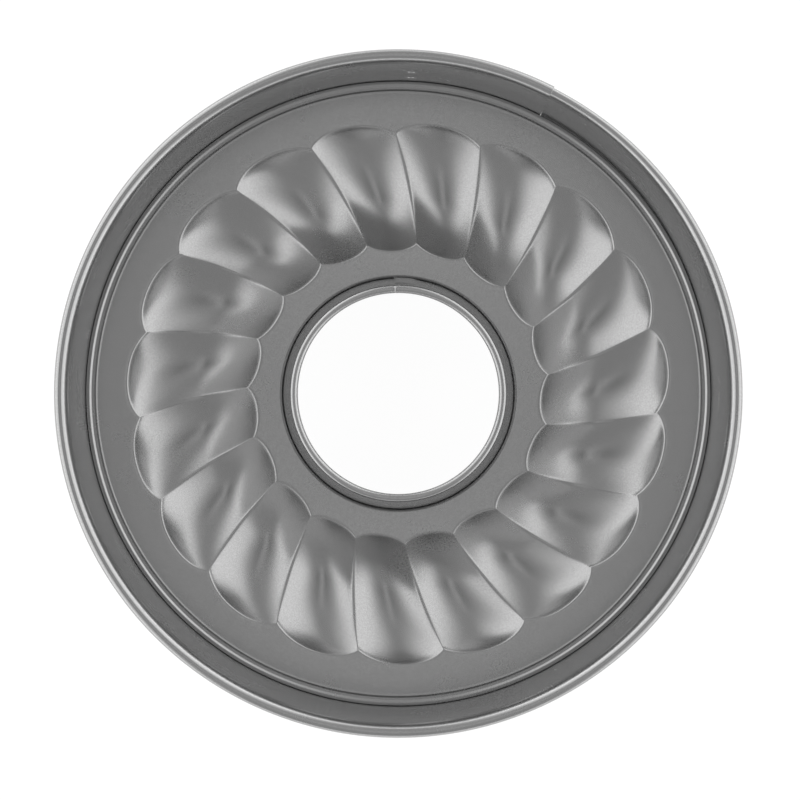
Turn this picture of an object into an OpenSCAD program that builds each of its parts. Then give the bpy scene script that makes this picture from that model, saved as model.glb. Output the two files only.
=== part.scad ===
// Springform ring mould with a fluted, twisted base, a conical centre tube
// and an over-centre latch. Millimetres, +Z up, origin on the axis at the floor.

/* [Side band] */
// Inside radius of the band
band_r = 130; // [120:1:140]
// Height of the band
band_h = 68; // [62:1:80]
// Thickness of the band's sheet
band_t = 0.5; // [0.4:0.05:0.6]
// Outer radius of the rolled rim
rim_r = 2.6; // [2.4:0.1:3]
// Play between the two layers of the lapped band
lap_play = 0.15; // [0.1:0.05:0.25]
// Height of the ledge that carries the base
ledge_z = 14; // [12:0.1:15]
// Width of the ledge
ledge_w = 4.4; // [4.2:0.1:5]
// Width of the foot flange under the ledge
foot_w = 2.5; // [2:0.1:4]
// Angle at which the inner end of the band stops
inner_end_angle = 27; // [24:1:34]
// Angle through which the two ends lap
lap_angle = 11.5; // [10:0.5:14]

/* [Base plate] */
// Thickness of the base's sheet
plate_t = 0.6; // [0.5:0.05:0.8]
// Play between the base and the band
plate_play = 0.6; // [0.5:0.05:1]
// Width of the flat rim at the base's edge
edge_w = 1.3; // [1:0.1:1.6]
// Width of the rise from the groove to the rim
rise_w = 0.8; // [0.6:0.1:1]
// Width of the groove that rests on the ledge
groove_w = 1.1; // [0.8:0.1:1.4]
// Width of the fall from the rib to the groove
fall_w = 0.8; // [0.6:0.1:1]
// Width of the rise from the plateau to the rib
rib_w = 0.7; // [0.5:0.1:1]
// Height of the rim over the plateau
edge_h = 0.1; // [0:0.05:0.3]
// Depth of the groove under the plateau
groove_depth = 0.35; // [0.25:0.05:0.45]
// Height of the rib over the plateau
rib_h = 0.25; // [0.15:0.05:0.35]
// Radius of the collar's outside
collar_r = 48.5; // [46:0.5:50]
// Depth of the turned-down collar
collar_h = 5.5; // [5:0.1:6]

/* [Flutes] */
// Number of flutes
flutes = 19; // [17:1:21]
// Radius of the outer ends of the flutes
flute_outer_r = 112.2; // [109:0.2:114]
// Radius of the inner ends of the flutes
flute_inner_r = 59.1; // [57:0.1:62]
// Radius of the points between the outer ends
cusp_outer_r = 107.4; // [105:0.1:108.5]
// Radius of the points between the inner ends
cusp_inner_r = 62.6; // [61:0.1:66]
// Depth of a flute under the plateau
flute_depth = 12; // [9:0.1:12.4]
// Depth of the ridges between the flutes
ridge_depth = 7.6; // [5:0.1:8]
// Angle of the outer end of the first flute
flute_angle = 8.15; // [0:0.05:18]
// Turn of a flute from its outer to its inner end
flute_twist = 8.9; // [0:0.1:12]

/* [Centre tube] */
// Height of the tube's mouth above the floor
tube_top = 65; // [55:1:68]
// Radius of the hole in the tube's mouth
mouth_r = 39.5; // [37:0.5:41]
// Radius of the curl round the mouth
mouth_curl_r = 1.65; // [1.4:0.05:2]
// Thickness of the tube's sheet
tube_t = 0.5; // [0.4:0.05:0.6]
// Play between the tube and the collar
tube_play = 0.4; // [0.2:0.05:0.45]
// Angle of the tube's lap seam
seam_angle = 1.7; // [0:0.1:10]
// Width of the tube's lap
seam_w = 6; // [4:0.5:8]

/* [Latch] */
// Height of the latch's middle
latch_z = 31.5; // [28:0.5:36]
// Angle of the lever's pin
lever_angle = 7.5; // [7:0.1:8.5]
// Angle of the two rivets
rivet_angle = 2.3; // [2:0.1:2.6]
// Angle of the bail's far bar
catch_angle = 21; // [20.5:0.1:22]
// Length of the lever
lever_length = 45; // [38:1:50]
// Half the width of the lever
lever_half_w = 8.2; // [7.8:0.1:8.6]
// Thickness of the latch's sheet
latch_t = 0.8; // [0.6:0.1:0.9]
// Radius of the lever's pin
pin_r = 1.2; // [1:0.1:1.3]
// Distance of the pin from the band
pin_reach = 5.3; // [5:0.1:5.5]
// Distance of the bail's pivot from the pin, along the band
bail_back = 6; // [5.5:0.1:6.5]
// Distance of the bail's pivot inwards from the pin
bail_in = 1.6; // [1.4:0.1:1.8]
// Radius of the bail's wire
wire_r = 0.9; // [0.8:0.05:1]
// Distance between the two rivets
rivet_spacing = 16; // [15.5:0.5:18]
// Radius of the rivets' heads
rivet_head_r = 2.4; // [2:0.1:2.5]
// Radius of the rivets' shanks
rivet_r = 1.5; // [1.2:0.1:1.6]
// Height of the rivets' inner heads
inner_head_h = 0.35; // [0.25:0.05:0.4]

/* [Hidden] */
$fn = 96;
cut_over = 1;

// Band
outer_r = band_r + band_t + lap_play;
rim_centre_r = band_r + rim_r;
rim_centre_z = band_h - rim_r;
nested_rim_r = rim_r - band_t - lap_play;
curl_end_angle = 242;
nested_curl_end_angle = 210;
end_gap_angle = 0.2;
joggle_play_angle = 1;
neck_play_angle = 0.1;
neck_inset = lap_play / 3;
joggle_angle = inner_end_angle + 3;
lap_foot_z = ledge_z + band_t;
lap_top_z = rim_centre_z - rim_r - band_t;
outer_end_angle = inner_end_angle - lap_angle;
foot_r = band_r - ledge_w;

// Base
plate_r = band_r - plate_play;
seat_play = 0.05;
seat_z = ledge_z + seat_play;
groove_z = seat_z + plate_t;
plateau_z = groove_z + groove_depth;
edge_z = plateau_z + edge_h;
edge_in_r = plate_r - edge_w;
groove_out_r = edge_in_r - rise_w;
groove_in_r = groove_out_r - groove_w;
rib_r = groove_in_r - fall_w;
rib_foot_r = rib_r - rib_w;
pitch = 360 / flutes;
flute_steps = 8;
length_steps = 10;
outer_end_share = 0.58;
inner_end_share = 0.5;
outer_end_power = 0.9;
inner_end_power = 1.1;
scallop_power = 2.3;
scallop_round = 0.85;
hollow_power = 1.7;
rim_flat_w = 2.4;
flat_lap = 0.5;
ring_outer_r = flute_outer_r + rim_flat_w;
ring_inner_r = flute_inner_r - rim_flat_w;

// Tube
tube_foot_r = collar_r - plate_t - tube_play;
collar_z = plateau_z - collar_h;
foot_curl_r = plate_t / 2 + tube_play;
foot_curl_mid_r = collar_r - plate_t / 2;
foot_curl_z = collar_z - tube_play;
mouth_mid_r = mouth_r + mouth_curl_r;
mouth_mid_z = tube_top - mouth_curl_r;
mouth_outer_r = mouth_mid_r + mouth_curl_r;

// Latch
pin_play = 0.05;
shank_play = 0.04;
side_play = 0.3;
pivot_play = 0.06;
pin_axis_r = band_r + band_t + pin_reach;
bracket_r = band_r + band_t + seat_play;
bracket_top_r = bracket_r + latch_t;
catch_r = outer_r + band_t + seat_play;
catch_top_r = catch_r + latch_t;
cheek_outer = lever_half_w;
cheek_inner = cheek_outer - latch_t;
ear_outer = cheek_inner - side_play;
ear_inner = ear_outer - latch_t;
ear_r = pin_r + 1.3 * latch_t;
web_top_r = pin_axis_r + 2 * pin_r + 0.3 * latch_t;
web_r = web_top_r - latch_t;
cheek_edge_r = pin_axis_r - 2 * pin_r;
pivot_lug_r = wire_r + 1.2 * latch_t;
pin_head_r = pin_r + latch_t;
pin_head_t = latch_t / 2;
pin_half_h = cheek_outer + side_play / 3 + pin_head_t;
arm_z = cheek_outer + side_play + pin_head_t + wire_r + side_play + pin_head_t / 2;
degrees_per_mm = 180 / (PI * pin_axis_r);
web_start_angle = lever_angle - (ear_r + side_play) * degrees_per_mm;
lever_tip_angle = lever_angle - lever_length * degrees_per_mm;
bar_r = catch_top_r + wire_r + 2.5 * side_play;
pivot_x = -bail_back;
pivot_y = pin_axis_r - bail_in;
bar_x = bar_r * sin(catch_angle - lever_angle);
bar_y = bar_r * cos(catch_angle - lever_angle);
bail_length = norm([bar_x - pivot_x, bar_y - pivot_y]);
bail_tilt = atan2(bar_y - pivot_y, bar_x - pivot_x);
turned_end = arm_z - cheek_inner + latch_t / 4;
hook_gap = 2 * side_play;
lip_x = bar_x - wire_r - hook_gap - latch_t / 2;
lip_angle = lever_angle + asin(lip_x / (catch_r + latch_t / 2));
lip_foot_y = (catch_r + latch_t / 2) * cos(lip_angle - lever_angle);
lip_top_y = bar_y + wire_r + 2 * latch_t;
catch_half_w = arm_z - wire_r - latch_t;

// Turns its children clockwise from +Y, seen from above
module at_angle(angle) rotate([0, 0, -angle]) children();

// Solid of revolution from one clockwise angle to another
module sweep_ring(from_angle, to_angle)
    rotate([0, 0, 90 - to_angle])
    rotate_extrude(angle = to_angle - from_angle, $fn = 240) children();

// A round curl of sheet in outline: a ring without the gap between two angles
module curl(centre, radius, sheet, gap_from, gap_to) translate(centre) difference() {
    reach = 2 * radius;
    circle(r = radius);
    circle(r = radius - sheet);
    polygon([[0, 0], for (share = [0:0.25:1])
        let (a = gap_from + (gap_to - gap_from) * share) reach * [cos(a), sin(a)]]);
}

// A sector of a disc, from one clockwise angle to another
module sector(radius, from_angle, to_angle) intersection() {
    circle(r = radius, $fn = 240);
    polygon([[0, 0], for (share = [0:0.25:1])
        let (a = from_angle + (to_angle - from_angle) * share) 2 * radius * [sin(a), cos(a)]]);
}

// Outline of the band: wall, ledge, skirt, foot flange and rolled rim
module band_outline() {
    translate([band_r, ledge_z - band_t]) square([band_t, rim_centre_z - ledge_z + band_t]);
    translate([foot_r, ledge_z - band_t]) square([band_r - foot_r + band_t, band_t]);
    translate([foot_r, 0]) square([band_t, ledge_z]);
    translate([foot_r - foot_w, 0]) square([foot_w + band_t, band_t]);
    curl([rim_centre_r, rim_centre_z], rim_r, band_t, 180, curl_end_angle);
}

// Outline of the lapped outer end's rim, inside the inner end's rim, and of its neck
module lapped_rim_outline() {
    translate([outer_r + neck_inset, lap_top_z - band_t])
        square([band_t - 2 * neck_inset, rim_centre_z - lap_top_z + band_t]);
    curl([rim_centre_r, rim_centre_z], nested_rim_r, band_t, 180, nested_curl_end_angle);
}

module side_band() color("dimgray") difference() {
    union() {
        sweep_ring(inner_end_angle + end_gap_angle - 360, inner_end_angle) band_outline();
        sweep_ring(outer_end_angle + neck_play_angle, inner_end_angle) lapped_rim_outline();
        // The outer end runs past the inner one and steps in to the ring
        sweep_ring(outer_end_angle, joggle_angle)
            translate([outer_r, lap_foot_z]) square([band_t, lap_top_z - lap_foot_z]);
        sweep_ring(inner_end_angle + joggle_play_angle, joggle_angle)
            translate([band_r + band_t / 2, lap_foot_z])
            square([outer_r - band_r, lap_top_z - lap_foot_z]);
    }
    rivet_holes(band_r - cut_over, outer_r);
}

// Rise of a scallop between two cusps, from 0 at the cusps to 1 in the middle
function scallop(u) = pow(1 - pow(abs(2 * u), scallop_power), scallop_round);

// Share of its depth that a flute has reached, v running from outer to inner end
function end_round(share, power) = share >= 1 ? 1 : pow(1 - pow(1 - share, 2), power);
function flute_form(v) =
    end_round(v / outer_end_share, outer_end_power)
    * end_round((1 - v) / inner_end_share, inner_end_power);

// A point of the fluted sheet, u across a flute and v along it; grow moves it outwards
function flute_point(i, u, v, grow) =
    let (outer = cusp_outer_r + (flute_outer_r - cusp_outer_r) * scallop(u) + grow,
         inner = cusp_inner_r - (cusp_inner_r - flute_inner_r) * scallop(u) - grow,
         r = outer + (inner - outer) * v,
         depth = flute_depth - (flute_depth - ridge_depth) * pow(abs(2 * u), hollow_power),
         turn = flute_twist * (flute_outer_r - r) / (flute_outer_r - flute_inner_r),
         angle = flute_angle + turn + (i + u) * pitch)
    [r * sin(angle), r * cos(angle), plateau_z - grow - depth * flute_form(v)];

// A point on one of the two circles that bound the fluted ring
function border_point(i, u, r, grow) =
    let (turn = flute_twist * (flute_outer_r - r) / (flute_outer_r - flute_inner_r),
         angle = flute_angle + turn + (i + u) * pitch)
    [r * sin(angle), r * cos(angle), plateau_z - grow];

function length_share(j) = (1 - cos(180 * j / length_steps)) / 2;

function fluted_sheet(grow) =
    [for (j = [-1:length_steps + 1], i = [0:flutes - 1], k = [0:flute_steps - 1])
        let (u = k / flute_steps - 1 / 2)
        j < 0 ? border_point(i, u, ring_outer_r, grow)
        : j > length_steps ? border_point(i, u, ring_inner_r, grow)
        : flute_point(i, u, length_share(j), grow)];

// The fluted ring as one closed sheet
module fluted_ring() {
    around = flutes * flute_steps;
    rows = length_steps + 3;
    top = around * rows;
    polyhedron(
        points = concat(fluted_sheet(0), fluted_sheet(plate_t)),
        faces = concat(
            [for (j = [0:rows - 2], i = [0:around - 1]) let (n = (i + 1) % around)
                each [[j * around + i, j * around + n, (j + 1) * around + n],
                      [j * around + i, (j + 1) * around + n, (j + 1) * around + i]]],
            [for (j = [0:rows - 2], i = [0:around - 1]) let (n = (i + 1) % around)
                each [[top + j * around + i, top + (j + 1) * around + n, top + j * around + n],
                      [top + j * around + i, top + (j + 1) * around + i,
                       top + (j + 1) * around + n]]],
            [for (i = [0:around - 1]) let (n = (i + 1) % around)
                each [[i, top + i, top + n], [i, top + n, n]]],
            [for (i = [0:around - 1])
                let (n = (i + 1) % around, last = (rows - 1) * around)
                each [[last + i, top + last + n, top + last + i],
                      [last + i, last + n, top + last + n]]]));
}

module base_plate() color("gray") union() {
    // Outer flat, rib, groove and rim
    edge_line = [[ring_outer_r - flat_lap, plateau_z], [rib_foot_r, plateau_z],
                 [rib_r, plateau_z + rib_h], [groove_in_r, groove_z],
                 [groove_out_r, groove_z], [edge_in_r, edge_z], [plate_r, edge_z]];
    fluted_ring();
    rotate_extrude($fn = 240) {
        polygon([each edge_line, for (k = [len(edge_line) - 1:-1:0])
            edge_line[k] - [0, plate_t]]);
        // Inner flat and collar
        translate([collar_r - plate_t, plateau_z - plate_t])
            square([ring_inner_r + flat_lap - collar_r + plate_t, plate_t]);
        translate([collar_r - plate_t, collar_z]) square([plate_t, collar_h]);
    }
}

// The tube's sheet, in outline, with a second layer outside it where it laps
module tube_outline(layer) {
    foot_z = foot_curl_z;
    polygon([[tube_foot_r - tube_t + layer, plateau_z],
             [tube_foot_r + layer, plateau_z],
             [mouth_outer_r + layer, mouth_mid_z],
             [mouth_outer_r - tube_t + layer, mouth_mid_z]]);
    if (layer == 0) {
        translate([tube_foot_r - tube_t, foot_z]) square([tube_t, plateau_z - foot_z]);
        curl([mouth_mid_r, mouth_mid_z], mouth_curl_r, tube_t, 250, 360);
        curl([foot_curl_mid_r, foot_z], foot_curl_r + tube_t, tube_t, 0, 180);
        translate([foot_curl_mid_r + foot_curl_r, foot_z]) square([tube_t, collar_h / 3]);
    }
}

module centre_tube() color("slategray") {
    seam_half_angle = seam_w * 90 / (PI * tube_foot_r);
    rotate_extrude($fn = 180) tube_outline(0);
    difference() {
        sweep_ring(-seam_angle, 2 * seam_half_angle - seam_angle)
            tube_outline(tube_t);
        // The lap stops clear of the collar
        translate([0, 0, plateau_z - cut_over])
            cylinder(r = collar_r + cut_over, h = cut_over + plate_t);
    }
}

module rivet_places() {
    for (side = [-1, 1]) at_angle(rivet_angle)
        translate([0, 0, latch_z + side * rivet_spacing / 2]) rotate([-90, 0, 0]) children();
}

module rivet_holes(from_r, to_r) {
    rivet_places() translate([0, 0, from_r])
        cylinder(r = rivet_r + shank_play, h = to_r - from_r, $fn = 48);
}

// The bracket: a curved plate with wings for the rivets, and two ears for the pin
module lever_bracket() color("silver") difference() {
    union() {
        wing_angle = (rivet_head_r + latch_t / 2) * degrees_per_mm;
        translate([0, 0, latch_z - ear_outer])
            sweep_ring(rivet_angle, lever_angle + 2 * ear_r * degrees_per_mm)
            translate([bracket_r, 0]) square([latch_t, 2 * ear_outer]);
        translate([0, 0, latch_z - rivet_spacing / 2 - rivet_head_r - latch_t])
            sweep_ring(rivet_angle - wing_angle, rivet_angle + wing_angle)
            translate([bracket_r, 0])
            square([latch_t, rivet_spacing + 2 * (rivet_head_r + latch_t)]);
        for (side = [-1, 1]) at_angle(lever_angle)
            translate([0, 0, latch_z + side * (ear_outer + ear_inner) / 2 - latch_t / 2])
            ear();
    }
    rivet_holes(bracket_r - cut_over, bracket_top_r + cut_over);
}

module ear() difference() {
    union() {
        translate([0, pin_axis_r, 0]) cylinder(r = ear_r, h = latch_t);
        translate([-ear_r, bracket_r + latch_t / 2, 0])
            cube([2 * ear_r, pin_axis_r - bracket_r - latch_t / 2, latch_t]);
    }
    translate([0, pin_axis_r, -cut_over])
        cylinder(r = pin_r + pin_play, h = latch_t + 2 * cut_over);
}

module bracket_rivets() color("lightgray") rivet_places() {
    head_in_r = band_r - seat_play;
    head_out_r = bracket_top_r + seat_play;
    translate([0, 0, head_in_r - inner_head_h])
        cylinder(r = rivet_head_r, h = inner_head_h, $fn = 48);
    translate([0, 0, head_in_r - inner_head_h])
        cylinder(r = rivet_r, h = head_out_r - head_in_r + inner_head_h + latch_t / 2, $fn = 48);
    translate([0, 0, head_out_r]) cylinder(r = rivet_head_r, h = latch_t, $fn = 48);
}

module lever_pin() color("lightgray") at_angle(lever_angle)
    translate([0, pin_axis_r, latch_z]) {
        translate([0, 0, -pin_half_h]) cylinder(r = pin_r, h = 2 * pin_half_h);
        for (side = [-1, 1])
            translate([0, 0, side * (pin_half_h - pin_head_t / 2) - pin_head_t / 2])
            cylinder(r = pin_head_r, h = pin_head_t);
    }

// The lever: a channel that follows the band, with lugs for its pin and for the bail
module latch_lever() color("silver") difference() {
    translate([0, 0, latch_z - cheek_outer])
        linear_extrude(2 * cheek_outer) lever_outline();
    translate([0, 0, latch_z - cheek_inner])
        linear_extrude(2 * cheek_inner) lever_hollow_outline();
    at_angle(lever_angle) {
        translate([0, pin_axis_r, latch_z - cheek_outer - cut_over])
            cylinder(r = pin_r + pivot_play, h = 2 * (cheek_outer + cut_over));
        translate([pivot_x, pivot_y, latch_z - cheek_outer - cut_over])
            cylinder(r = wire_r + pivot_play, h = 2 * (cheek_outer + cut_over));
    }
}

module lever_outline() {
    difference() {
        sector(web_top_r, lever_tip_angle, web_start_angle);
        circle(r = cheek_edge_r, $fn = 240);
    }
    at_angle(lever_angle) {
        translate([0, pin_axis_r]) circle(r = ear_r);
        polygon([[pivot_x - 2 * pivot_lug_r, pin_axis_r],
                 [pivot_x - pivot_lug_r, pivot_y - pivot_lug_r],
                 [pivot_x + pivot_lug_r, pivot_y - pivot_lug_r],
                 [0, pin_axis_r - ear_r], [0, pin_axis_r + ear_r],
                 [pivot_x - 2 * pivot_lug_r, pin_axis_r + pin_r]]);
    }
}

// The hollow of the channel, and the clear space between the lugs
module lever_hollow_outline() {
    sector(web_r, lever_tip_angle + latch_t * degrees_per_mm, lever_angle);
    at_angle(lever_angle) translate([-ear_r - 2 * side_play, cheek_edge_r - pin_reach])
        square([3 * ear_r, 3 * pin_reach]);
}

// The bail: two arms, a far bar and two ends turned into the lever
module latch_bail() color("lightgray") at_angle(lever_angle)
    translate([pivot_x, pivot_y, latch_z]) rotate([0, 0, bail_tilt]) {
        for (side = [-1, 1]) translate([0, 0, side * arm_z]) {
            rotate([0, 90, 0]) cylinder(r = wire_r, h = bail_length, $fn = 32);
            sphere(r = wire_r, $fn = 32);
            translate([bail_length, 0, 0]) sphere(r = wire_r, $fn = 32);
            translate([0, 0, side > 0 ? -turned_end : 0])
                cylinder(r = wire_r, h = turned_end, $fn = 32);
        }
        translate([bail_length, 0, -arm_z]) cylinder(r = wire_r, h = 2 * arm_z, $fn = 32);
    }

// The catch: a curved plate on the outer end of the band, with an upright lip
module catch_bracket() color("silver") translate([0, 0, latch_z - catch_half_w]) {
    plate_from = lip_angle - 3 * latch_t * degrees_per_mm;
    sweep_ring(plate_from, catch_angle + 6 * latch_t * degrees_per_mm)
        translate([catch_r, 0]) square([latch_t, 2 * catch_half_w]);
    at_angle(lever_angle) translate([lip_x - latch_t / 2, lip_foot_y, 0])
        cube([latch_t, lip_top_y - lip_foot_y, 2 * catch_half_w]);
}

side_band();
base_plate();
centre_tube();
lever_bracket();
bracket_rivets();
lever_pin();
latch_lever();
latch_bail();
catch_bracket();
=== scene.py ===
# %% [markdown]
# # A springform ring mould with a fluted, twisted base
#
# The mould stands on a white table and is seen from straight above. Its rolled band
# closes with a latch, the pressed base lifts out, and a conical tube stands in the middle.
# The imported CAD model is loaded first. It fixes the sizes and the joints, and each piece
# made here takes the place of one of its nodes or gives it a finish.

# %% The frame
import math

import bmesh
import bpy
import numpy as np
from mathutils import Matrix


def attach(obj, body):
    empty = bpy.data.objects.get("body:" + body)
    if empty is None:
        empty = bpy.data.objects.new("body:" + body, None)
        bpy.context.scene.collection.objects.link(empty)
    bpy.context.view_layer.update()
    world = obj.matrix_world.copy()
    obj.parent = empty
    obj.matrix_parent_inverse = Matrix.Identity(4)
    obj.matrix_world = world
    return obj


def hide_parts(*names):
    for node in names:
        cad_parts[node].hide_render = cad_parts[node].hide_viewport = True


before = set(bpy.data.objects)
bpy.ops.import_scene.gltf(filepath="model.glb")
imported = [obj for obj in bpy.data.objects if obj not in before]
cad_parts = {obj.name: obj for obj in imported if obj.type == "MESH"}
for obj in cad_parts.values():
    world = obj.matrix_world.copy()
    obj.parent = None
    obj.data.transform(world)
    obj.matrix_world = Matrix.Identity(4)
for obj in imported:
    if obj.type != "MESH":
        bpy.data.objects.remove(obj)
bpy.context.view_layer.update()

MM = 0.001
print("nodes:", ", ".join(sorted(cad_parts)))

# %% [markdown]
# ## The mould's sizes
#
# In millimetres, and as in the CAD source but for four small things. The flutes are a
# little shallower here, and the wall stands WALL_IN further in, because the light then
# falls on them as on the real tin. LEDGE_FALL rounds the ledge towards the wall, and
# TUBE_SWELL widens the tube's foot. Heights are above the table, and angles run clockwise
# from the top of the picture, as on a clock.

# %% Sizes
BAND_R, BAND_T, BAND_TOP, WALL_IN = 130.0, 0.5, 68.0, 0.3
RIM_R, LAP_PLAY = 2.6, 0.15
LEDGE_Z, LEDGE_W, LEDGE_FALL, FOOT_W = 14.0, 4.4, 1.2, 2.5
INNER_END, LAP_ANGLE, LAP_EASE = 27.0, 11.5, 60.0
PLATE_R, PLATE_T = 129.4, 0.6
EDGE_W, RISE_W, GROOVE_W, FALL_W, RIB_W = 1.3, 0.8, 1.1, 0.8, 0.7
EDGE_H, GROOVE_DEPTH, RIB_H = 0.1, 0.35, 0.25
COLLAR_R, COLLAR_H = 48.5, 5.5
FLUTES, FLUTE_ANGLE, FLUTE_TWIST = 19, 8.15, 8.9
APEX_OUTER, APEX_INNER, CUSP_OUTER, CUSP_INNER = 112.2, 59.1, 107.4, 62.6
FLUTE_DEPTH, RIDGE_DEPTH = 10.2, 5.8
TUBE_TOP, MOUTH_R, MOUTH_CURL_R, TUBE_T, TUBE_PLAY = 65.0, 39.5, 1.65, 0.5, 0.4
SEAM_ANGLE, SEAM_W, TUBE_SWELL = 1.7, 6.0, 0.25
LATCH_Z, RIVET_ANGLE, RIVET_SPACING, RIVET_HEAD_R = 31.5, 2.3, 16.0, 2.4
INNER_HEAD_H, SEAT_PLAY, LATCH_T, RIVET_R = 0.35, 0.05, 0.8, 1.5

WALL_R = BAND_R - WALL_IN
GROOVE_Z = LEDGE_Z + SEAT_PLAY + PLATE_T
PLATEAU_Z = GROOVE_Z + GROOVE_DEPTH
print("plateau at", PLATEAU_Z, "mm, rim at", BAND_TOP, "mm")

# %% [markdown]
# ## Shader maths as Python
#
# Blender's shaders are trees of small nodes. A long sum of Math nodes is hard to read, so
# this class wraps an output socket, and Python's own operators add the Math nodes. Any
# other node comes from its method `node`, which sets the node's settings first and then
# fills or links its sockets.

# %% Wire
class Wire:
    """An output socket of a node tree, on which Python's operators work."""

    def __init__(self, tree, socket=None):
        self.tree, self.socket = tree, socket

    def node(self, kind, settings=None, sockets=None, output=0):
        made = self.tree.nodes.new(kind)
        for name, value in (settings or {}).items():
            setattr(made, name, value)
        for name, value in (sockets or {}).items():
            self.join(value, made.inputs[name])
        return Wire(self.tree, made.outputs[output])

    def join(self, value, socket):
        """Links a Wire to a socket, or writes a plain value into it."""
        if isinstance(value, Wire):
            self.tree.links.new(value.socket, socket)
        else:
            socket.default_value = value

    def maths(self, operation, first, second):
        return self.node("ShaderNodeMath", {"operation": operation}, {0: first, 1: second})

    def __add__(self, other):
        return self.maths("ADD", self, other)

    def __sub__(self, other):
        return self.maths("SUBTRACT", self, other)

    def __rsub__(self, other):
        return self.maths("SUBTRACT", other, self)

    def __mul__(self, other):
        return self.maths("MULTIPLY", self, other)

    __radd__, __rmul__ = __add__, __mul__

    def __abs__(self):
        return self.node("ShaderNodeMath", {"operation": "ABSOLUTE"}, {0: self})

    def step(self, low, high):
        """0 below low, 1 above high and smooth between them; high may be the lower one."""
        return self.node("ShaderNodeMapRange", {"interpolation_type": "SMOOTHSTEP"},
                         {"Value": self, "From Min": low, "From Max": high})


print("a Wire takes + - * and abs, and steps between two values")

# %% [markdown]
# ## A finish
#
# Every finish is one Principled shader, which covers metal and a clear layer alike. What
# changes over the surface is linked to its sockets, and plain numbers are written into
# them. The photograph is grey, so one level stands for all three parts of a colour.

# %% Trees and grey shaders
def new_tree(holder, output_kind):
    """An empty tree with its output node, as a Wire to build on."""
    holder.use_nodes = True
    tree = holder.node_tree
    tree.nodes.clear()
    return Wire(tree), tree.nodes.new(output_kind)


def grey_shader(level, sockets):
    """A Principled shader with a grey level and its other sockets."""
    colour = level.node("ShaderNodeCombineColor", None, {0: level, 1: level, 2: level})
    shader = level.node("ShaderNodeBsdfPrincipled", None, {"Base Color": colour, **sockets})
    print("a grey finish with", len(level.tree.nodes), "nodes")
    return shader

# %% [markdown]
# ## The non-stick coating
#
# The whole mould is tinplate under a grey non-stick coating. It is satin, a little
# metallic, and full of fine flecks under a thin clear layer. A picture of real flecks
# would need its own mapping, so two noises make them: a fine one for the flecks, which
# shifts the colour, the gloss and the bumps together, and a wide one for the slow changes
# in gloss that the spraying leaves.

# %% The coating
FLECK_SCALE, SPRAY_SCALE = 1900.0, 45.0
FLECK_EDGES = (0.36, 0.66)
FLECK_GLOSS, SPRAY_GLOSS = 0.04, 0.04


def coating(name, grey, roughness, fleck):
    material = bpy.data.materials.new(name)
    wire, output = new_tree(material, "ShaderNodeOutputMaterial")
    place = wire.node("ShaderNodeTexCoord", output="Object")
    fine = wire.node("ShaderNodeTexNoise", None,
                     {"Vector": place, "Scale": FLECK_SCALE, "Detail": 2.0, "Roughness": 0.6})
    wide = wire.node("ShaderNodeTexNoise", None,
                     {"Vector": place, "Scale": SPRAY_SCALE, "Detail": 3.0, "Roughness": 0.5})
    flecks = fine.step(*FLECK_EDGES)
    level = grey * (1 - fleck / 2) + flecks * (grey * fleck)
    gloss = roughness - SPRAY_GLOSS / 2 + wide * SPRAY_GLOSS - (flecks - 0.5) * FLECK_GLOSS
    bump = wire.node("ShaderNodeBump", None,
                     {"Height": fine, "Strength": 0.035, "Distance": 0.1 * MM})
    shader = grey_shader(level, {"Metallic": 0.9, "Roughness": gloss, "Coat Weight": 0.35,
                                 "Coat Roughness": 0.16, "Normal": bump})
    wire.join(shader, output.inputs["Surface"])
    return material


non_stick = coating("nonstick_coating", 0.425, 0.25, 0.09)

# %% [markdown]
# ## Brushed latch sheet, rivets and wire
#
# The latch is pressed from bright steel sheet, which keeps fine lines from the mill. They
# could be modelled as scratches, but they are far too fine for that, so a noise stretched
# along the height of the mould gives them. Rivets and wire are smoother.

# %% Bright metals
GRAIN_SCALE, WEAR_SCALE = 900.0, 160.0
GRAIN_GREY, GRAIN_GLOSS, WEAR_GLOSS = 0.12, 0.08, 0.06


def bright_metal(name, grey, roughness, stretch):
    material = bpy.data.materials.new(name)
    wire, output = new_tree(material, "ShaderNodeOutputMaterial")
    place = wire.node("ShaderNodeTexCoord", output="Object")
    lines = wire.node("ShaderNodeMapping", None, {"Vector": place, "Scale": stretch})
    grain = wire.node("ShaderNodeTexNoise", None,
                      {"Vector": lines, "Scale": GRAIN_SCALE, "Detail": 4.0, "Roughness": 0.6})
    wear = wire.node("ShaderNodeTexNoise", None,
                     {"Vector": place, "Scale": WEAR_SCALE, "Detail": 3.0})
    level = grey - GRAIN_GREY / 2 + grain * GRAIN_GREY
    gloss = roughness - 0.06 + grain * GRAIN_GLOSS + wear * WEAR_GLOSS
    bump = wire.node("ShaderNodeBump", None,
                     {"Height": grain, "Strength": 0.12, "Distance": 0.05 * MM})
    shader = grey_shader(level, {"Metallic": 1.0, "Roughness": gloss, "Normal": bump})
    wire.join(shader, output.inputs["Surface"])
    return material


latch_sheet = bright_metal("latch_sheet", 0.62, 0.30, (1.0, 1.0, 0.06))
rivet_metal = bright_metal("rivet_metal", 0.80, 0.20, (1.0, 1.0, 1.0))
bright_wire = bright_metal("bright_wire", 0.72, 0.16, (1.0, 1.0, 1.0))

# %% [markdown]
# ## Sheet metal as a slab
#
# Every pressed piece is one thin sheet. A Solidify modifier could thicken a single skin,
# but it leaves tight curls uneven. So each piece gets a grid of points for both of its
# skins, with edge faces between them, which gives a closed mesh, as the real sheet is.
# Grids are arrays of shape (rows, columns, 3) in millimetres.

# %% Grids of points and faces
def clockwise(r, angle, z):
    """Points in millimetres from radius, clockwise angle in degrees and height."""
    turn = np.radians(angle)
    return np.stack(np.broadcast_arrays(r * np.sin(turn), r * np.cos(turn), z), axis=-1)


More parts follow.
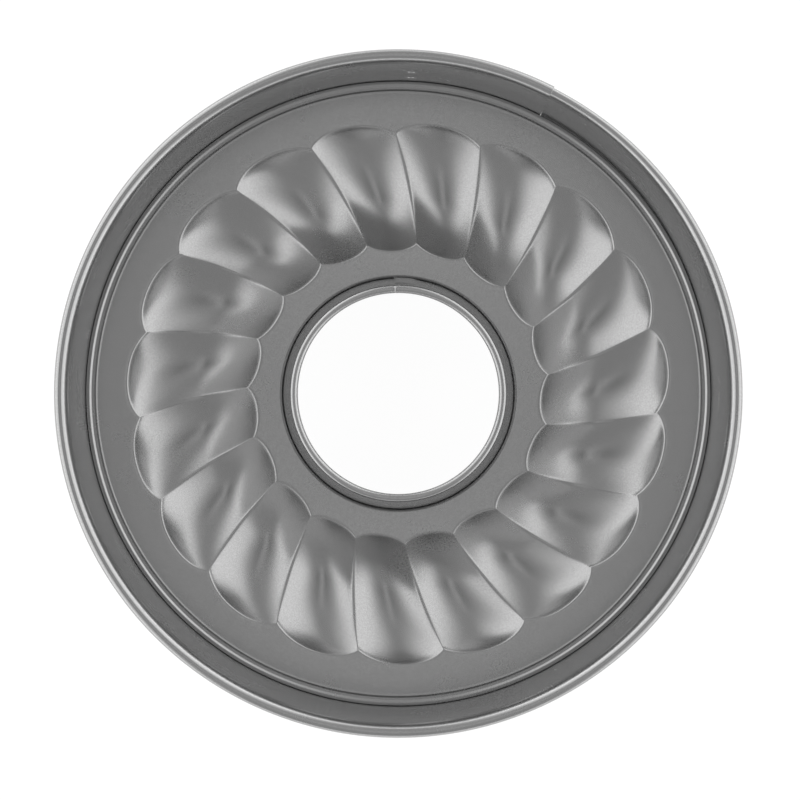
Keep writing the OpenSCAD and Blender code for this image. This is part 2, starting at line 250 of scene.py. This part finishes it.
def grid_faces(rows, columns, first, flip, ring):
    """Quads between neighbouring rows and columns; a ring joins its last column to its first."""
    faces = []
    for j in range(rows - 1):
        for i in range(columns if ring else columns - 1):
            n = (i + 1) % columns
            quad = [first + j * columns + i, first + j * columns + n,
                    first + (j + 1) * columns + n, first + (j + 1) * columns + i]
            faces.append(quad[::-1] if flip else quad)
    return faces


def together(*slabs):
    """Several slabs as one; points that coincide are merged when the piece is made."""
    points, faces, first = [], [], 0
    for slab_points, slab_faces in slabs:
        points.append(slab_points)
        faces += [[first + k for k in face] for face in slab_faces]
        first += len(slab_points)
    return np.concatenate(points), faces


print("a 3 by 4 ring of points has", len(grid_faces(3, 4, 0, False, True)), "faces")

# %% [markdown]
# ## A piece from its points
#
# Each piece rides on one body of the CAD model, stands for one of its nodes and fills that
# node's material slot. Counting the edges that don't join exactly two faces shows at once
# whether the sheet is closed. A narrow bevel then rounds the cut edges, which no real
# sheet has sharp.

# %% Pieces
MERGE_WITHIN = 0.001 * MM
CUT_EDGE_ANGLE = 50


def make_piece(name, points, faces, finish, body, slot, node):
    """A smooth mesh that rides on a body and stands for a CAD node."""
    mesh = bpy.data.meshes.new(name)
    mesh.from_pydata((np.asarray(points) * MM).tolist(), [], faces)
    merged = bmesh.new()
    merged.from_mesh(mesh)
    bmesh.ops.remove_doubles(merged, verts=merged.verts, dist=MERGE_WITHIN)
    bmesh.ops.recalc_face_normals(merged, faces=merged.faces)
    open_edges = sum(not edge.is_manifold for edge in merged.edges)
    merged.to_mesh(mesh)
    merged.free()
    mesh.shade_smooth()
    mesh.materials.append(finish)
    piece = bpy.data.objects.new(name, mesh)
    bpy.context.scene.collection.objects.link(piece)
    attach(piece, body)
    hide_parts(node)
    print(name, "faces:", len(mesh.polygons), "open edges:", open_edges)
    return piece


def soften_edges(piece, width):
    """Rounds the sheet's cut edges."""
    bevel = piece.modifiers.new("cut_edges", "BEVEL")
    bevel.width, bevel.segments = width * MM, 2
    bevel.limit_method, bevel.angle_limit = "ANGLE", math.radians(CUT_EDGE_ANGLE)
    bevel.harden_normals = False
    print(piece.name, "has its cut edges rounded by", width, "mm")

# %% [markdown]
# ## Profiles with rounded bends
#
# A sheet never bends at a sharp corner. A profile is written as a few corners with a
# radius each, and an arc of points takes each corner's place. Moving the profile sideways
# by half the thickness gives the sheet's two skins.

# %% Profiles
ARC_STEP = 12
GUARD = 0.12


def rounded(corners):
    """A profile of (x, y, radius) corners, each replaced by an arc of points."""
    made = []
    for k, (x, y, radius) in enumerate(corners):
        here = np.array([x, y])
        if radius == 0 or k in (0, len(corners) - 1):
            made.append(here)
            continue
        before = np.array(corners[k - 1][:2]) - here
        after = np.array(corners[k + 1][:2]) - here
        before, after = before / np.linalg.norm(before), after / np.linalg.norm(after)
        half = math.acos(np.clip(before @ after, -1, 1)) / 2
        centre = here + (before + after) / np.linalg.norm(before + after) * radius / math.sin(half)
        start = here + before * radius / math.tan(half) - centre
        end = here + after * radius / math.tan(half) - centre
        sweep = math.pi - 2 * half
        sign = np.sign(start[0] * end[1] - start[1] * end[0])
        steps = max(3, int(sweep / math.radians(ARC_STEP)) + 1)
        # A point just before and after the arc keeps its shading off the flats
        made.append(centre + start + before * GUARD * radius)
        for t in np.linspace(0, sign * sweep, steps + 1):
            turn = np.array([[math.cos(t), -math.sin(t)], [math.sin(t), math.cos(t)]])
            made.append(centre + turn @ start)
        made.append(centre + end + after * GUARD * radius)
    return np.array(made)


def curl_points(centre, radius, start, end, steps):
    """Points on an arc from one angle to another, in degrees."""
    turn = np.radians(np.linspace(start, end, steps + 1))
    return np.stack([centre[0] + radius * np.cos(turn), centre[1] + radius * np.sin(turn)], 1)


def offset_profile(profile, distance):
    """The profile moved sideways, to the right of its direction."""
    step = np.gradient(profile, axis=0)
    normal = np.stack([step[:, 1], -step[:, 0]], axis=1)
    return profile + distance * normal / np.linalg.norm(normal, axis=1)[:, None]


print("points in a right-angled bend:", len(rounded([(0, 0, 0), (5, 0, 1), (5, 5, 0)])))

# %% [markdown]
# ## The fluted base
#
# One disc of sheet is pressed into nineteen flutes that sweep round the middle. Each
# flute is a hollow with rounded ends, and between two flutes a ridge stays lower than the
# flat round them. Sculpting nineteen alike hollows by hand would take long, and cutting
# them with solids would leave sharp edges, so the shape is a formula: how far along its
# flute a point lies gives one share of the depth, and how far across gives the other.
# Blurring both shares a little gives every edge the radius that a press leaves.

# %% The flutes' formula
FINE = 0.0005


def blurred(values, width):
    """A curve's values at steps of FINE, smoothed by a Gaussian of that width."""
    reach = max(1, int(4 * width / FINE))
    kernel = np.exp(-0.5 * (np.arange(-reach, reach + 1) * FINE / width) ** 2)
    padded = np.pad(values, reach, mode="wrap")
    return np.convolve(padded, kernel / kernel.sum(), mode="valid")


def end_round(share, power):
    """The depth from a flute's end inwards, as a share, over the share of its length."""
    share = np.clip(share, 0, 1)
    return (1 - (1 - share) ** 2) ** power


OUTER_END, OUTER_POWER = 0.62, 0.75
INNER_END_SHARE, INNER_POWER = 0.48, 0.98
PRESS_EDGE = 0.45 / (CUSP_OUTER - CUSP_INNER)

fine_v = np.arange(-0.3, 1.3, FINE)
fine_u = np.arange(-0.5, 0.5, FINE)
flute_form = blurred(end_round(fine_v / OUTER_END, OUTER_POWER)
                     * end_round((1 - fine_v) / INNER_END_SHARE, INNER_POWER), PRESS_EDGE)
scallop = blurred((1 - np.abs(2 * fine_u) ** 2.3) ** 0.85, 0.006)
hollow = blurred(1 - np.abs(2 * fine_u) ** 1.7, 0.024)
print("a flute is deepest at", round(float(fine_v[flute_form.argmax()]), 2), "of its length")

# %% [markdown]
# ## The base's flat parts
#
# Round the flutes the base is flat. Its edge has a step, a groove and a small rib, which
# stiffen it and seat it on the ledge, and in the middle it turns down to a collar that
# carries the tube. Both parts are plain profiles, the same all round.

# %% The edge and the collar
FLAT_FROM, FLAT_TO = 116.5, 55.0
PRESS_R, RIB_ROUND, RIB_FOOT_R, COLLAR_BEND_R = 0.35, 0.25, 0.6, 1.4


def edge_profile():
    rim_in = PLATE_R - EDGE_W
    groove_out = rim_in - RISE_W
    groove_in = groove_out - GROOVE_W
    rib_r = groove_in - FALL_W
    return rounded([(PLATE_R, PLATEAU_Z + EDGE_H, 0), (rim_in, PLATEAU_Z + EDGE_H, PRESS_R),
                    (groove_out, GROOVE_Z, PRESS_R), (groove_in, GROOVE_Z, PRESS_R),
                    (rib_r, PLATEAU_Z + RIB_H, RIB_ROUND),
                    (rib_r - RIB_W, PLATEAU_Z, RIB_FOOT_R), (FLAT_FROM, PLATEAU_Z, 0)])


def collar_profile():
    return rounded([(FLAT_TO, PLATEAU_Z, 0), (COLLAR_R - PLATE_T, PLATEAU_Z, COLLAR_BEND_R),
                    (COLLAR_R - PLATE_T, PLATEAU_Z - COLLAR_H, 0)])


print("points in the edge:", len(edge_profile()), "and in the collar:", len(collar_profile()))

# %% [markdown]
# ## The base's grid
#
# The grid's columns run along the flutes and crowd at the ridges, and its rows crowd at
# the flutes' ends, so that the tight bends get the most points. In the flutes the lower
# skin lies straight below the upper one, by more where the sheet is steep.

# %% One flute
CROWDING = 0.72
PAST_END = np.array([0.006, 0.012, 0.02, 0.03, 0.045])
STEEPEST = 2.5


def crowded(count):
    """Places from 0 to 1 that crowd towards both ends."""
    t = np.linspace(0, 1, count)
    return t - CROWDING * np.sin(2 * np.pi * t) / (2 * np.pi)


def flute_skins(u):
    """Radii and heights of the upper and the lower skin of one flute."""
    v = np.concatenate([-PAST_END[::-1], crowded(64), 1 + PAST_END])
    rise, sag = np.interp(u, fine_u, scallop), np.interp(u, fine_u, hollow)
    outer = CUSP_OUTER + (APEX_OUTER - CUSP_OUTER) * rise
    inner = CUSP_INNER - (CUSP_INNER - APEX_INNER) * rise
    r = outer + (inner - outer) * v[:, None]
    depth = RIDGE_DEPTH + (FLUTE_DEPTH - RIDGE_DEPTH) * sag
    z = PLATEAU_Z - depth * np.interp(v, fine_v, flute_form)[:, None]
    slope = np.gradient(z, axis=0) / np.gradient(r, axis=0)
    drop = PLATE_T * np.sqrt(1 + np.minimum(slope ** 2, STEEPEST))
    return (r, z), (r, z - drop)


flute_u = crowded(37)[:-1] - 0.5
print("one flute has", flute_skins(flute_u)[0][0].shape, "points on each skin")

# %% [markdown]
# ## The base's two skins
#
# Edge, flute and collar follow each other along a column. The columns of one flute are
# repeated nineteen times round the axis, and each point is turned by the twist that its
# radius has.

# %% The whole base
TWIST_FROM, TWIST_TO = 57, 114


def same_all_round(profile, columns):
    return np.repeat(profile[:, :1], columns, 1), np.repeat(profile[:, 1:], columns, 1)


def base_skins():
    count = len(flute_u)
    edge, collar = edge_profile(), collar_profile()
    upper_flute, lower_flute = flute_skins(flute_u)
    upper = [same_all_round(edge, count), upper_flute, same_all_round(collar, count)]
    lower = [same_all_round(offset_profile(edge, -PLATE_T), count), lower_flute,
             same_all_round(offset_profile(collar, -PLATE_T), count)]
    upper_r = np.tile(np.concatenate([r for r, z in upper]), (1, FLUTES))
    twist_r = np.clip(upper_r, TWIST_FROM, TWIST_TO)
    turn = FLUTE_TWIST * (APEX_OUTER - twist_r) / (APEX_OUTER - APEX_INNER)
    across = (np.arange(FLUTES)[:, None] + flute_u).ravel() * 360 / FLUTES
    for parts in (upper, lower):
        skin_r = np.tile(np.concatenate([r for r, z in parts]), (1, FLUTES))
        skin_z = np.tile(np.concatenate([z for r, z in parts]), (1, FLUTES))
        yield clockwise(skin_r, FLUTE_ANGLE + turn + across, skin_z)


def ring_slab(upper, lower):
    """Points and faces of a closed sheet that runs all the way round."""
    rows, columns = upper.shape[:2]
    count = rows * columns
    faces = grid_faces(rows, columns, 0, False, True)
    faces += grid_faces(rows, columns, count, True, True)
    for i in range(columns):
        n, last = (i + 1) % columns, (rows - 1) * columns
        faces.append([n, i, count + i, count + n])
        faces.append([last + i, last + n, count + last + n, count + last + i])
    return np.concatenate([upper.reshape(-1, 3), lower.reshape(-1, 3)]), faces


fluted_base = make_piece("fluted_base", *ring_slab(*base_skins()), non_stick,
                         "base", "nonstick_coating", "base_plate")
soften_edges(fluted_base, 0.14)

# %% [markdown]
# ## The rolled band
#
# The wall is one strip of sheet, rolled into a ring so that its ends lap. Turning a
# section round the axis with a Screw modifier would give a ring without ends, so the
# section is swept from one end to the other here. It goes up the wall, leaves it in a wide
# bend of 45 degrees, and runs on round the rolled rim. Below the wall it steps in to the
# ledge that carries the base, and down to the foot.

# %% The band's section
WALL_FOOT_Z = LEDGE_Z + BAND_T
CURL_R = RIM_R - WALL_IN
CURL_CENTRE = np.array([BAND_R + 2 * RIM_R - CURL_R, BAND_TOP - CURL_R])
CURL_END, WALL_STEPS = -118, 12
FOOT_BEND_R, LEDGE_BEND_R = 0.5, 0.8
DIAGONAL = math.sqrt(0.5)
BELL_R = (CURL_CENTRE[0] - DIAGONAL * CURL_R - WALL_R) / (1 - DIAGONAL)
BELL_CENTRE = CURL_CENTRE + DIAGONAL * (BELL_R - CURL_R) * np.array([1, -1])


def wall_section(shift):
    """Middle line of the sheet from the foot of the wall to the end of the rolled rim."""
    inward = shift + BAND_T / 2
    heights = np.linspace(WALL_FOOT_Z, BELL_CENTRE[1], WALL_STEPS + 1)[:-1]
    wall = np.stack([np.full(WALL_STEPS, WALL_R + inward), heights], axis=1)
    bell = curl_points(BELL_CENTRE, BELL_R - inward, 180, 135, 12)[:-1]
    curl = curl_points(CURL_CENTRE, CURL_R - inward, 135, CURL_END, 38)
    return np.concatenate([wall, bell, curl])


def ledge_section(shift):
    """Middle line from the inner edge of the foot flange to the foot of the wall."""
    foot_r = BAND_R - LEDGE_W + BAND_T / 2
    wall_r = WALL_R + shift + BAND_T / 2
    half = BAND_T / 2
    return rounded([(foot_r - FOOT_W - half, half, 0), (foot_r, half, FOOT_BEND_R),
                    (foot_r, LEDGE_Z - half, FOOT_BEND_R),
                    (wall_r - LEDGE_FALL, LEDGE_Z - half, LEDGE_BEND_R),
                    (wall_r, LEDGE_Z - LEDGE_FALL, FOOT_BEND_R), (wall_r, WALL_FOOT_Z, 0)])


print("bend below the rim:", round(BELL_R, 2), "mm from", round(BELL_CENTRE[1], 2), "mm up")

# %% [markdown]
# ## Strips with open ends
#
# A swept strip is closed like the ring before, but it has two cut ends as well. The lap
# goes on where the ring begins, and there both leave their caps out, so that the two make
# one closed sheet.

# %% Strips
def sweep(sections, angles):
    """Left and right skins of a strip, from middle lines and clockwise angles."""
    skins = []
    for side in (0.5, -0.5):
        lines = [offset_profile(line, side * BAND_T) for line in sections]
        skins.append(np.stack([clockwise(line[:, 0], angle, line[:, 1])
                               for line, angle in zip(lines, angles)]))
    return skins


def strip_slab(left, right, first_cap=None, last_cap=None):
    """Points and faces of a strip. A cap that is given covers only that many columns."""
    rows, columns = left.shape[:2]
    count = rows * columns
    faces = grid_faces(rows, columns, 0, False, False)
    faces += grid_faces(rows, columns, count, True, False)
    for j in range(rows - 1):
        low, high = j * columns, (j + 1) * columns
        faces.append([low, high, count + high, count + low])
        low, high = low + columns - 1, high + columns - 1
        faces.append([high, low, count + low, count + high])
    for i in range(columns - 1 if first_cap is None else first_cap):
        faces.append([i + 1, i, count + i, count + i + 1])
    last = (rows - 1) * columns
    for i in range(last, last + (columns - 1 if last_cap is None else last_cap)):
        faces.append([i, i + 1, count + i + 1, count + i])
    return np.concatenate([left.reshape(-1, 3), right.reshape(-1, 3)]), faces


def cut_ends(angles):
    """The angles with four more close to both cut ends, which keep the shading off the wall."""
    near = np.array([0.06, 0.15])
    return np.concatenate([angles[:1], angles[0] + near, angles[1:-1],
                           angles[-1] - near[::-1], angles[-1:]])


print("angles of a short strip:", cut_ends(np.linspace(0, 3, 4)).round(2).tolist())

# %% [markdown]
# ## The ring and its lap
#
# The ring starts just past its own inner end and runs once round. The outer end passes
# outside the inner one over a few degrees, and there it is wall and rim only. Past the lap
# the wall eases back to the ring over about sixty degrees, so that no step shows.

# %% The band
RING_FROM, RING_TO = INNER_END + 0.04, INNER_END + 360
LAP_FROM = INNER_END - LAP_ANGLE


def smooth_step(x):
    x = np.clip(x, 0, 1)
    return x * x * (3 - 2 * x)


def band_shift(angle):
    """How far out the sheet sits: a layer and its play at the lap, nothing past it."""
    return (BAND_T + LAP_PLAY) * (1 - smooth_step((angle - RING_FROM) / LAP_EASE))


ring_angles = cut_ends(np.linspace(RING_FROM, RING_TO, 301))
ring_lines = [np.concatenate([ledge_section(band_shift(a))[:-1], wall_section(band_shift(a))])
              for a in ring_angles]
lap_angles = cut_ends(np.linspace(LAP_FROM, RING_FROM, 12))
lap_lines = [wall_section(band_shift(RING_FROM)) for a in lap_angles]
ledge_columns = len(ring_lines[0]) - len(lap_lines[0])
ring = strip_slab(*sweep(ring_lines, ring_angles), first_cap=ledge_columns)
lap = strip_slab(*sweep(lap_lines, lap_angles), last_cap=0)
rolled_band = make_piece("rolled_band", *together(ring, lap), non_stick,
                         "band", "nonstick_coating", "side_band")
soften_edges(rolled_band, 0.12)

# %% [markdown]
# ## The centre tube
#
# The tube is a cone of sheet with a lapped seam. Its mouth is rolled into a bead, and its
# foot is curled round the collar of the base, which holds it. A plain cone would miss the
# small swelling over the collar, so the tube gets a middle line of its own too.

# %% The tube's section
SWELL_FROM, SWELL_TO, LEAN_FROM = 3.5, 2.5, 0.6
SWELL_BEND_R, LEAN_BEND_R, MOUTH_TURN = 1.0, 2.5, 250


def tube_line():
    """Middle line of the sheet, from the end of the foot's curl to the end of the mouth's."""
    half = TUBE_T / 2
    foot_z = PLATEAU_Z - COLLAR_H - TUBE_PLAY
    foot_mid_r = COLLAR_R - PLATE_T / 2
    foot_curl_r = PLATE_T / 2 + TUBE_PLAY + half
    mouth_mid = (MOUTH_R + MOUTH_CURL_R, TUBE_TOP - MOUTH_CURL_R)
    curl_r = MOUTH_CURL_R - half
    leg_r = foot_mid_r - foot_curl_r
    foot = curl_points((foot_mid_r, foot_z), foot_curl_r, 0, -180, 12)
    bend = rounded([(leg_r, foot_z + 1, 0), (leg_r, PLATEAU_Z - SWELL_FROM, SWELL_BEND_R),
                    (leg_r + TUBE_SWELL, PLATEAU_Z - SWELL_TO, SWELL_BEND_R),
                    (leg_r + TUBE_SWELL, PLATEAU_Z + LEAN_FROM, LEAN_BEND_R),
                    (mouth_mid[0] + curl_r, mouth_mid[1], 0)])
    cone = bend[-2] + (bend[-1] - bend[-2]) * np.linspace(0, 1, 15)[1:-1, None]
    mouth = curl_points(mouth_mid, curl_r, 0, MOUTH_TURN, 34)
    return np.concatenate([[(foot[0][0], foot_z + COLLAR_H / 3)], foot, bend[:-1], cone, mouth])


tube_middle = tube_line()
print("tube from", tube_middle[:, 1].min().round(2), "to", tube_middle[:, 1].max().round(2), "mm")

# %% [markdown]
# ## The tube's seam
#
# The seam is a plain lap, one end of the sheet over the other. In the curls of foot and
# mouth a lap would be too thick to roll, so the ends only meet there, and the lap fades in
# above the foot and out below the mouth.

# %% The tube
SEAM_CUT = 0.1
LAYER = 1.04 * TUBE_T
SEAM_EASE = 7
LAP_IN, LAP_IN_OVER, LAP_OUT, LAP_OUT_OVER = 0.8, 2.5, 8.5, 4.5

above_base = smooth_step((tube_middle[:, 1] - PLATEAU_Z - LAP_IN) / LAP_IN_OVER)
below_mouth = 1 - smooth_step((tube_middle[:, 1] - TUBE_TOP + LAP_OUT) / LAP_OUT_OVER)
lapped = above_base * below_mouth
lap_degrees = math.degrees(SEAM_W / (COLLAR_R - PLATE_T))
outward = offset_profile(tube_middle, 1.0) - tube_middle
tube_skins = ([], [])
for share in np.linspace(0, 1, 241):
    angle = -SEAM_ANGLE + share * (360 - SEAM_CUT + lap_degrees * lapped)
    shift = LAYER * lapped * (1 - smooth_step((angle + SEAM_ANGLE - lap_degrees) / SEAM_EASE))
    for skin, side in zip(tube_skins, (0.5, -0.5)):
        skin_line = tube_middle + outward * (shift + side * TUBE_T)[:, None]
        skin.append(clockwise(skin_line[:, 0], angle, skin_line[:, 1]))
conical_tube = make_piece("conical_tube", *strip_slab(*map(np.stack, tube_skins)), non_stick,
                          "base", "nonstick_coating", "centre_tube")
soften_edges(conical_tube, 0.12)

# %% [markdown]
# ## The rivets
#
# Two rivets hold the latch's bracket. Inside the band each shows a low head with a
# rounded edge, and outside a domed one. Squashed spheres would do for the heads alone, but
# the shank has to fill its holes as well, so a profile of the whole rivet is turned round
# its own axis.

# %% Rivets
def turned(profile, centre, toward, steps):
    """A closed solid from (radius, place along the axis) points, the two ends on the axis."""
    toward = np.array(toward) / np.linalg.norm(toward)
    side = np.cross(toward, [0, 0, 1])
    up = np.cross(side, toward)
    points = []
    for radius, along in profile[1:-1]:
        for turn in np.linspace(0, 2 * math.pi, steps, endpoint=False):
            points.append(np.array(centre) + toward * along
                          + radius * (math.cos(turn) * side + math.sin(turn) * up))
    rows = len(profile) - 2
    faces = grid_faces(rows, steps, 0, False, True)
    for (_, along), row in ((profile[0], 0), (profile[-1], rows - 1)):
        points.append(np.array(centre) + toward * along)
        for i in range(steps):
            faces.append([len(points) - 1, row * steps + i, row * steps + (i + 1) % steps])
    return np.array(points), faces


inner_r = WALL_R + SEAT_PLAY
outer_r = BAND_R + BAND_T + SEAT_PLAY + LATCH_T + SEAT_PLAY
inner_head = [(0, 1), (0.9, 1), (1.5, 0.97), (1.95, 0.82), (2.25, 0.5), (RIVET_HEAD_R, 0)]
outer_head = [(RIVET_HEAD_R, 0), (2.35, 0.3), (2.1, 0.55), (1.6, 0.72), (0.8, 0.79), (0, 0.8)]
rivet_profile = [(r, inner_r - share * INNER_HEAD_H) for r, share in inner_head] \
    + [(RIVET_R, inner_r), (RIVET_R, outer_r)] + [(r, outer_r + h) for r, h in outer_head]
rivet_axis = clockwise(1.0, RIVET_ANGLE, 0.0)
rivets = [turned(rivet_profile, (0, 0, LATCH_Z + side * RIVET_SPACING / 2), rivet_axis, 40)
          for side in (-1, 1)]
rivet_heads = make_piece("rivet_heads", *together(*rivets), rivet_metal,
                         "band", "rivet_metal", "bracket_rivets")

# %% [markdown]
# ## The latch
#
# The lever, its bracket and pin, the wire bail and the catch have the right shapes in the
# CAD model already. Making them again would add nothing, so the nodes stay as they are and
# only get their finishes.

# %% The latch's finishes
for name, finish in {"lever_bracket": latch_sheet, "latch_lever": latch_sheet,
                     "catch_bracket": latch_sheet, "lever_pin": bright_wire,
                     "latch_bail": bright_wire}.items():
    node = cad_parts[name]
    node.data.materials.clear()
    node.data.materials.append(finish)
    print(name, "is finished in", finish.name)

# %% [markdown]
# ## The table
#
# The table is a plain white sheet. More lamps would turn it white, but they would also
# wash out the mould. So to the camera and to the shiny metal the sheet shines softly,
# which keeps it white, and it still takes the mould's shadow.

# %% Table
TABLE_REACH = 20.0
TABLE_GLOW, TABLE_PAPER, TABLE_BOUNCE = 0.95, 0.12, 0.8


def table_top():
    mesh = bpy.data.meshes.new("table_top")
    corners = [(-1, -1), (1, -1), (1, 1), (-1, 1)]
    mesh.from_pydata([(x * TABLE_REACH, y * TABLE_REACH, 0) for x, y in corners], [],
                     [(0, 1, 2, 3)])
    floor = bpy.data.objects.new("table_top", mesh)
    bpy.context.scene.collection.objects.link(floor)
    material = bpy.data.materials.new("white_table")
    start, output = new_tree(material, "ShaderNodeOutputMaterial")
    camera_ray, glossy_ray, through_ray = (
        start.node("ShaderNodeLightPath", output=name)
        for name in ("Is Camera Ray", "Is Glossy Ray", "Is Transmission Ray"))
    glow = start.node("ShaderNodeEmission", None,
                      {"Color": (1, 1, 1, 1), "Strength": TABLE_GLOW})
    paper, bounce = (start.node("ShaderNodeBsdfDiffuse", None, {"Color": (grey,) * 3 + (1,)})
                     for grey in (TABLE_PAPER, TABLE_BOUNCE))
    shown = start.node("ShaderNodeAddShader", None, {0: glow, 1: paper})
    mixed = start.node("ShaderNodeMixShader", None,
                       {0: camera_ray + glossy_ray + through_ray, 1: bounce, 2: shown})
    start.join(mixed, output.inputs["Surface"])
    mesh.materials.append(material)
    print("the table reaches", TABLE_REACH, "m each way")


table_top()

# %% [markdown]
# ## The studio
#
# Shiny metal shows what stands round it, so the light is a whole room rather than a few
# lamps. The world paints it from the direction alone. The room is dim, and dimmest straight
# above, where the camera hangs. A narrow strip of light crosses that place, a large soft
# box stands on the left and on the right, and the walls are pale near the horizon, most of
# all behind and in front. The camera itself sees plain white.

# %% Studio light
DIM, ROOM, STRIP, BOXES = 0.22, 0.18, 0.43, 1.08
WALLS, WALL_ENDS = 0.4, 0.6
BOX_TURN = 0.2


def studio():
    world = bpy.data.worlds.new("studio")
    start, output = new_tree(world, "ShaderNodeOutputWorld")
    direction = start.node("ShaderNodeTexCoord", output="Generated")
    x, y, z = (start.node("ShaderNodeSeparateXYZ", None, {0: direction}, output=k)
               for k in "XYZ")
    sideways, endways = abs(x), abs(y)
    room = z.step(0.965, 0.92)
    strip = sideways.step(0.22, 0.02) * endways.step(0.42, 0.26)
    boxes = z.step(0.92, 0.76) * (sideways + y * BOX_TURN).step(0.20, 0.68)
    walls = z.step(0.38, 0.08) * (endways * WALL_ENDS + WALLS)
    light = DIM + strip * STRIP + room * ROOM + boxes * BOXES + walls
    camera_ray = start.node("ShaderNodeLightPath", output="Is Camera Ray")
    strength = light + camera_ray * (1 - light)
    background = start.node("ShaderNodeBackground", None,
                            {"Color": (1, 1, 1, 1), "Strength": strength})
    start.join(background, output.inputs["Surface"])
    bpy.context.scene.world = world
    print("studio of", len(world.node_tree.nodes), "nodes")


studio()
bpy.context.scene.view_settings.view_transform = "Standard"

# %% [markdown]
# ## The camera
#
# The mould was photographed from straight above, from just under a metre, with a long
# lens. A small shift puts the mould where it lies in the picture.

# %% Camera
PICTURE_PX, FOCAL_PX = 800, 2289.0
SENSOR_MM, CAMERA_Z = 36.0, 0.9644
camera_data = bpy.data.cameras.new("camera")
camera_data.sensor_width = SENSOR_MM
camera_data.lens = FOCAL_PX / PICTURE_PX * SENSOR_MM
camera_data.shift_x, camera_data.shift_y = 0.0021, -0.0081
camera = bpy.data.objects.new("camera", camera_data)
camera.location = (0, 0, CAMERA_Z)
bpy.context.scene.collection.objects.link(camera)
bpy.context.scene.camera = camera
print("lens:", round(camera_data.lens, 1), "mm at", CAMERA_Z, "m")

# %% [markdown]
# ## The last update
#
# The view layer is brought up to date once more.

# %% Update
bpy.context.view_layer.update()
